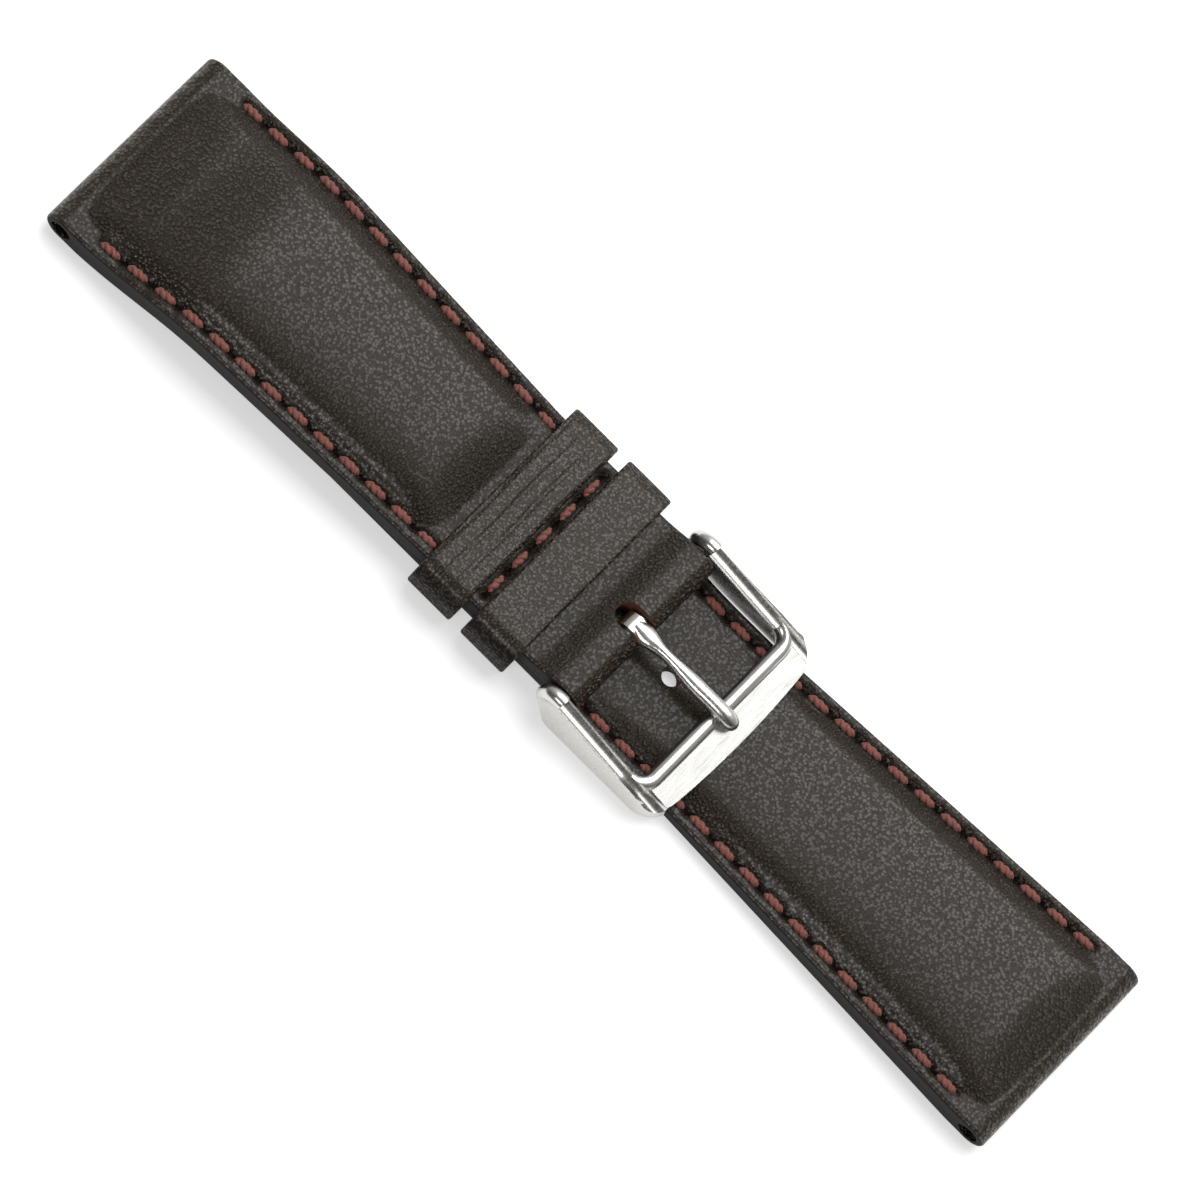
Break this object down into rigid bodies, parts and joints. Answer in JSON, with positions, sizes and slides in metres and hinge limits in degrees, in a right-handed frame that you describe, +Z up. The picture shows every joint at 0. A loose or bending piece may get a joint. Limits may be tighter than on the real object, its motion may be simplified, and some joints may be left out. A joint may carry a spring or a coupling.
{
  "type": "leather watch strap",
  "caption": "Two-part padded leather watch strap, laid flat and closed, with a sprung-bar tongue buckle and two leather keepers.",
  "frame": {"origin": "centre of the bounding box in plan, on the plane the strap lies on", "axes": "+X along the strap from the buckle half's lug end to the tail half's lug end, +Y across the strap, +Z up from the lining side to the grain side"},
  "size_m": [0.1424, 0.0272, 0.0083],
  "materials": {
    "upper_leather": "pebbled grain, semi-gloss",
    "keeper_leather": "smooth grain, semi-gloss",
    "lining_leather": "matt",
    "padding": "soft felt",
    "filler": "pressed fibre",
    "thread": "twisted waxed thread",
    "buckle_steel": "polished",
    "bar_steel": "turned"
  },
  "bodies": {
    "buckle_half": {"buckle_half_upper": "upper_leather", "buckle_half_pad": "padding", "buckle_half_filler": "filler", "buckle_half_lining": "lining_leather", "buckle_half_stitches_left": "thread", "buckle_half_stitches_right": "thread", "fold_stitches": "thread", "fixed_keeper": "keeper_leather", "spring_bar_tube": "bar_steel", "spring_bar_spring": "bar_steel"},
    "free_keeper": {"free_keeper": "keeper_leather"},
    "tail_half": {"tail_upper": "upper_leather", "tail_pad": "padding", "tail_filler": "filler", "tail_lining": "lining_leather", "tail_stitches_left": "thread", "tail_stitches_right": "thread", "tail_tip_stitches": "thread"},
    "buckle_frame": {"buckle_frame": "buckle_steel"},
    "buckle_tongue": {"buckle_tongue": "buckle_steel"},
    "spring_bar_tip_left": {"spring_bar_tip_left": "bar_steel"},
    "spring_bar_tip_right": {"spring_bar_tip_right": "bar_steel"}
  },
  "joints": [
    {"name": "free_keeper_slide", "type": "slide", "parent": "buckle_half", "child": "free_keeper", "axis": [1, 0, 0], "range_m": [-0.001, 0.0014]},
    {"name": "tail_slide", "type": "slide", "parent": "buckle_half", "child": "tail_half", "axis": [1, 0, 0], "range_m": [0, 0.066]},
    {"name": "frame_hinge", "type": "hinge", "parent": "buckle_half", "child": "buckle_frame", "pos_m": [0.005, 0, 0.00519], "axis": [0, -1, 0], "range_deg": [0, 60]},
    {"name": "tongue_hinge", "type": "hinge", "parent": "buckle_frame", "child": "buckle_tongue", "pos_m": [0.005, 0, 0.00519], "axis": [0, -1, 0], "range_deg": [0, 50]},
    {"name": "left_tip_slide", "type": "slide", "parent": "buckle_half", "child": "spring_bar_tip_left", "axis": [0, -1, 0], "range_m": [0, 0.0011], "stiffness_N_per_m": 500, "springref_m": -0.001, "deforming": ["spring_bar_spring"]},
    {"name": "right_tip_slide", "type": "slide", "parent": "buckle_half", "child": "spring_bar_tip_right", "axis": [0, 1, 0], "range_m": [0, 0.0011], "stiffness_N_per_m": 500, "springref_m": -0.001, "deforming": ["spring_bar_spring"]}
  ]
}
